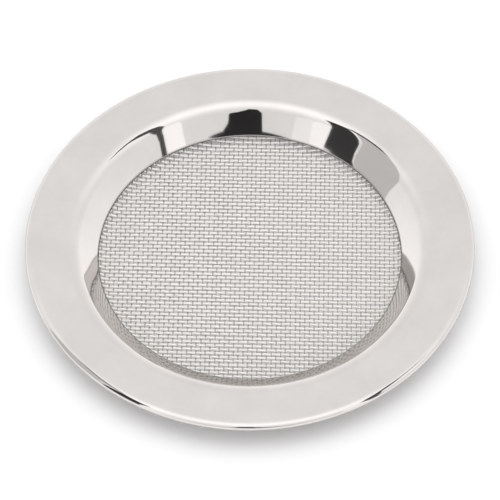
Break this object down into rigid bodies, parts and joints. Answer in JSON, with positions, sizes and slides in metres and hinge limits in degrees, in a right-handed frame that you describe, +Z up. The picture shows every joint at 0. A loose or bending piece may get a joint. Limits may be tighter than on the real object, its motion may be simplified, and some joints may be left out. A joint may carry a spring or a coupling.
{
  "type": "incense screen",
  "caption": "Round stainless incense screen: a shallow dish of woven wire held in a wide polished flange with a rolled outer edge.",
  "frame": {"origin": "under the centre of the dish, on the surface that the screen stands on", "axes": "+Z up along the axis of the ring, out of the open side of the dish; +X and +Y along the two directions of the woven wires"},
  "size_m": [0.07, 0.07, 0.0049],
  "materials": {
    "polished_sheet": "polished stainless sheet",
    "woven_wire": "bright drawn stainless wire"
  },
  "bodies": {
    "root": {"rim_ring": "polished_sheet", "mesh_pan": "woven_wire"}
  },
  "joints": []
}
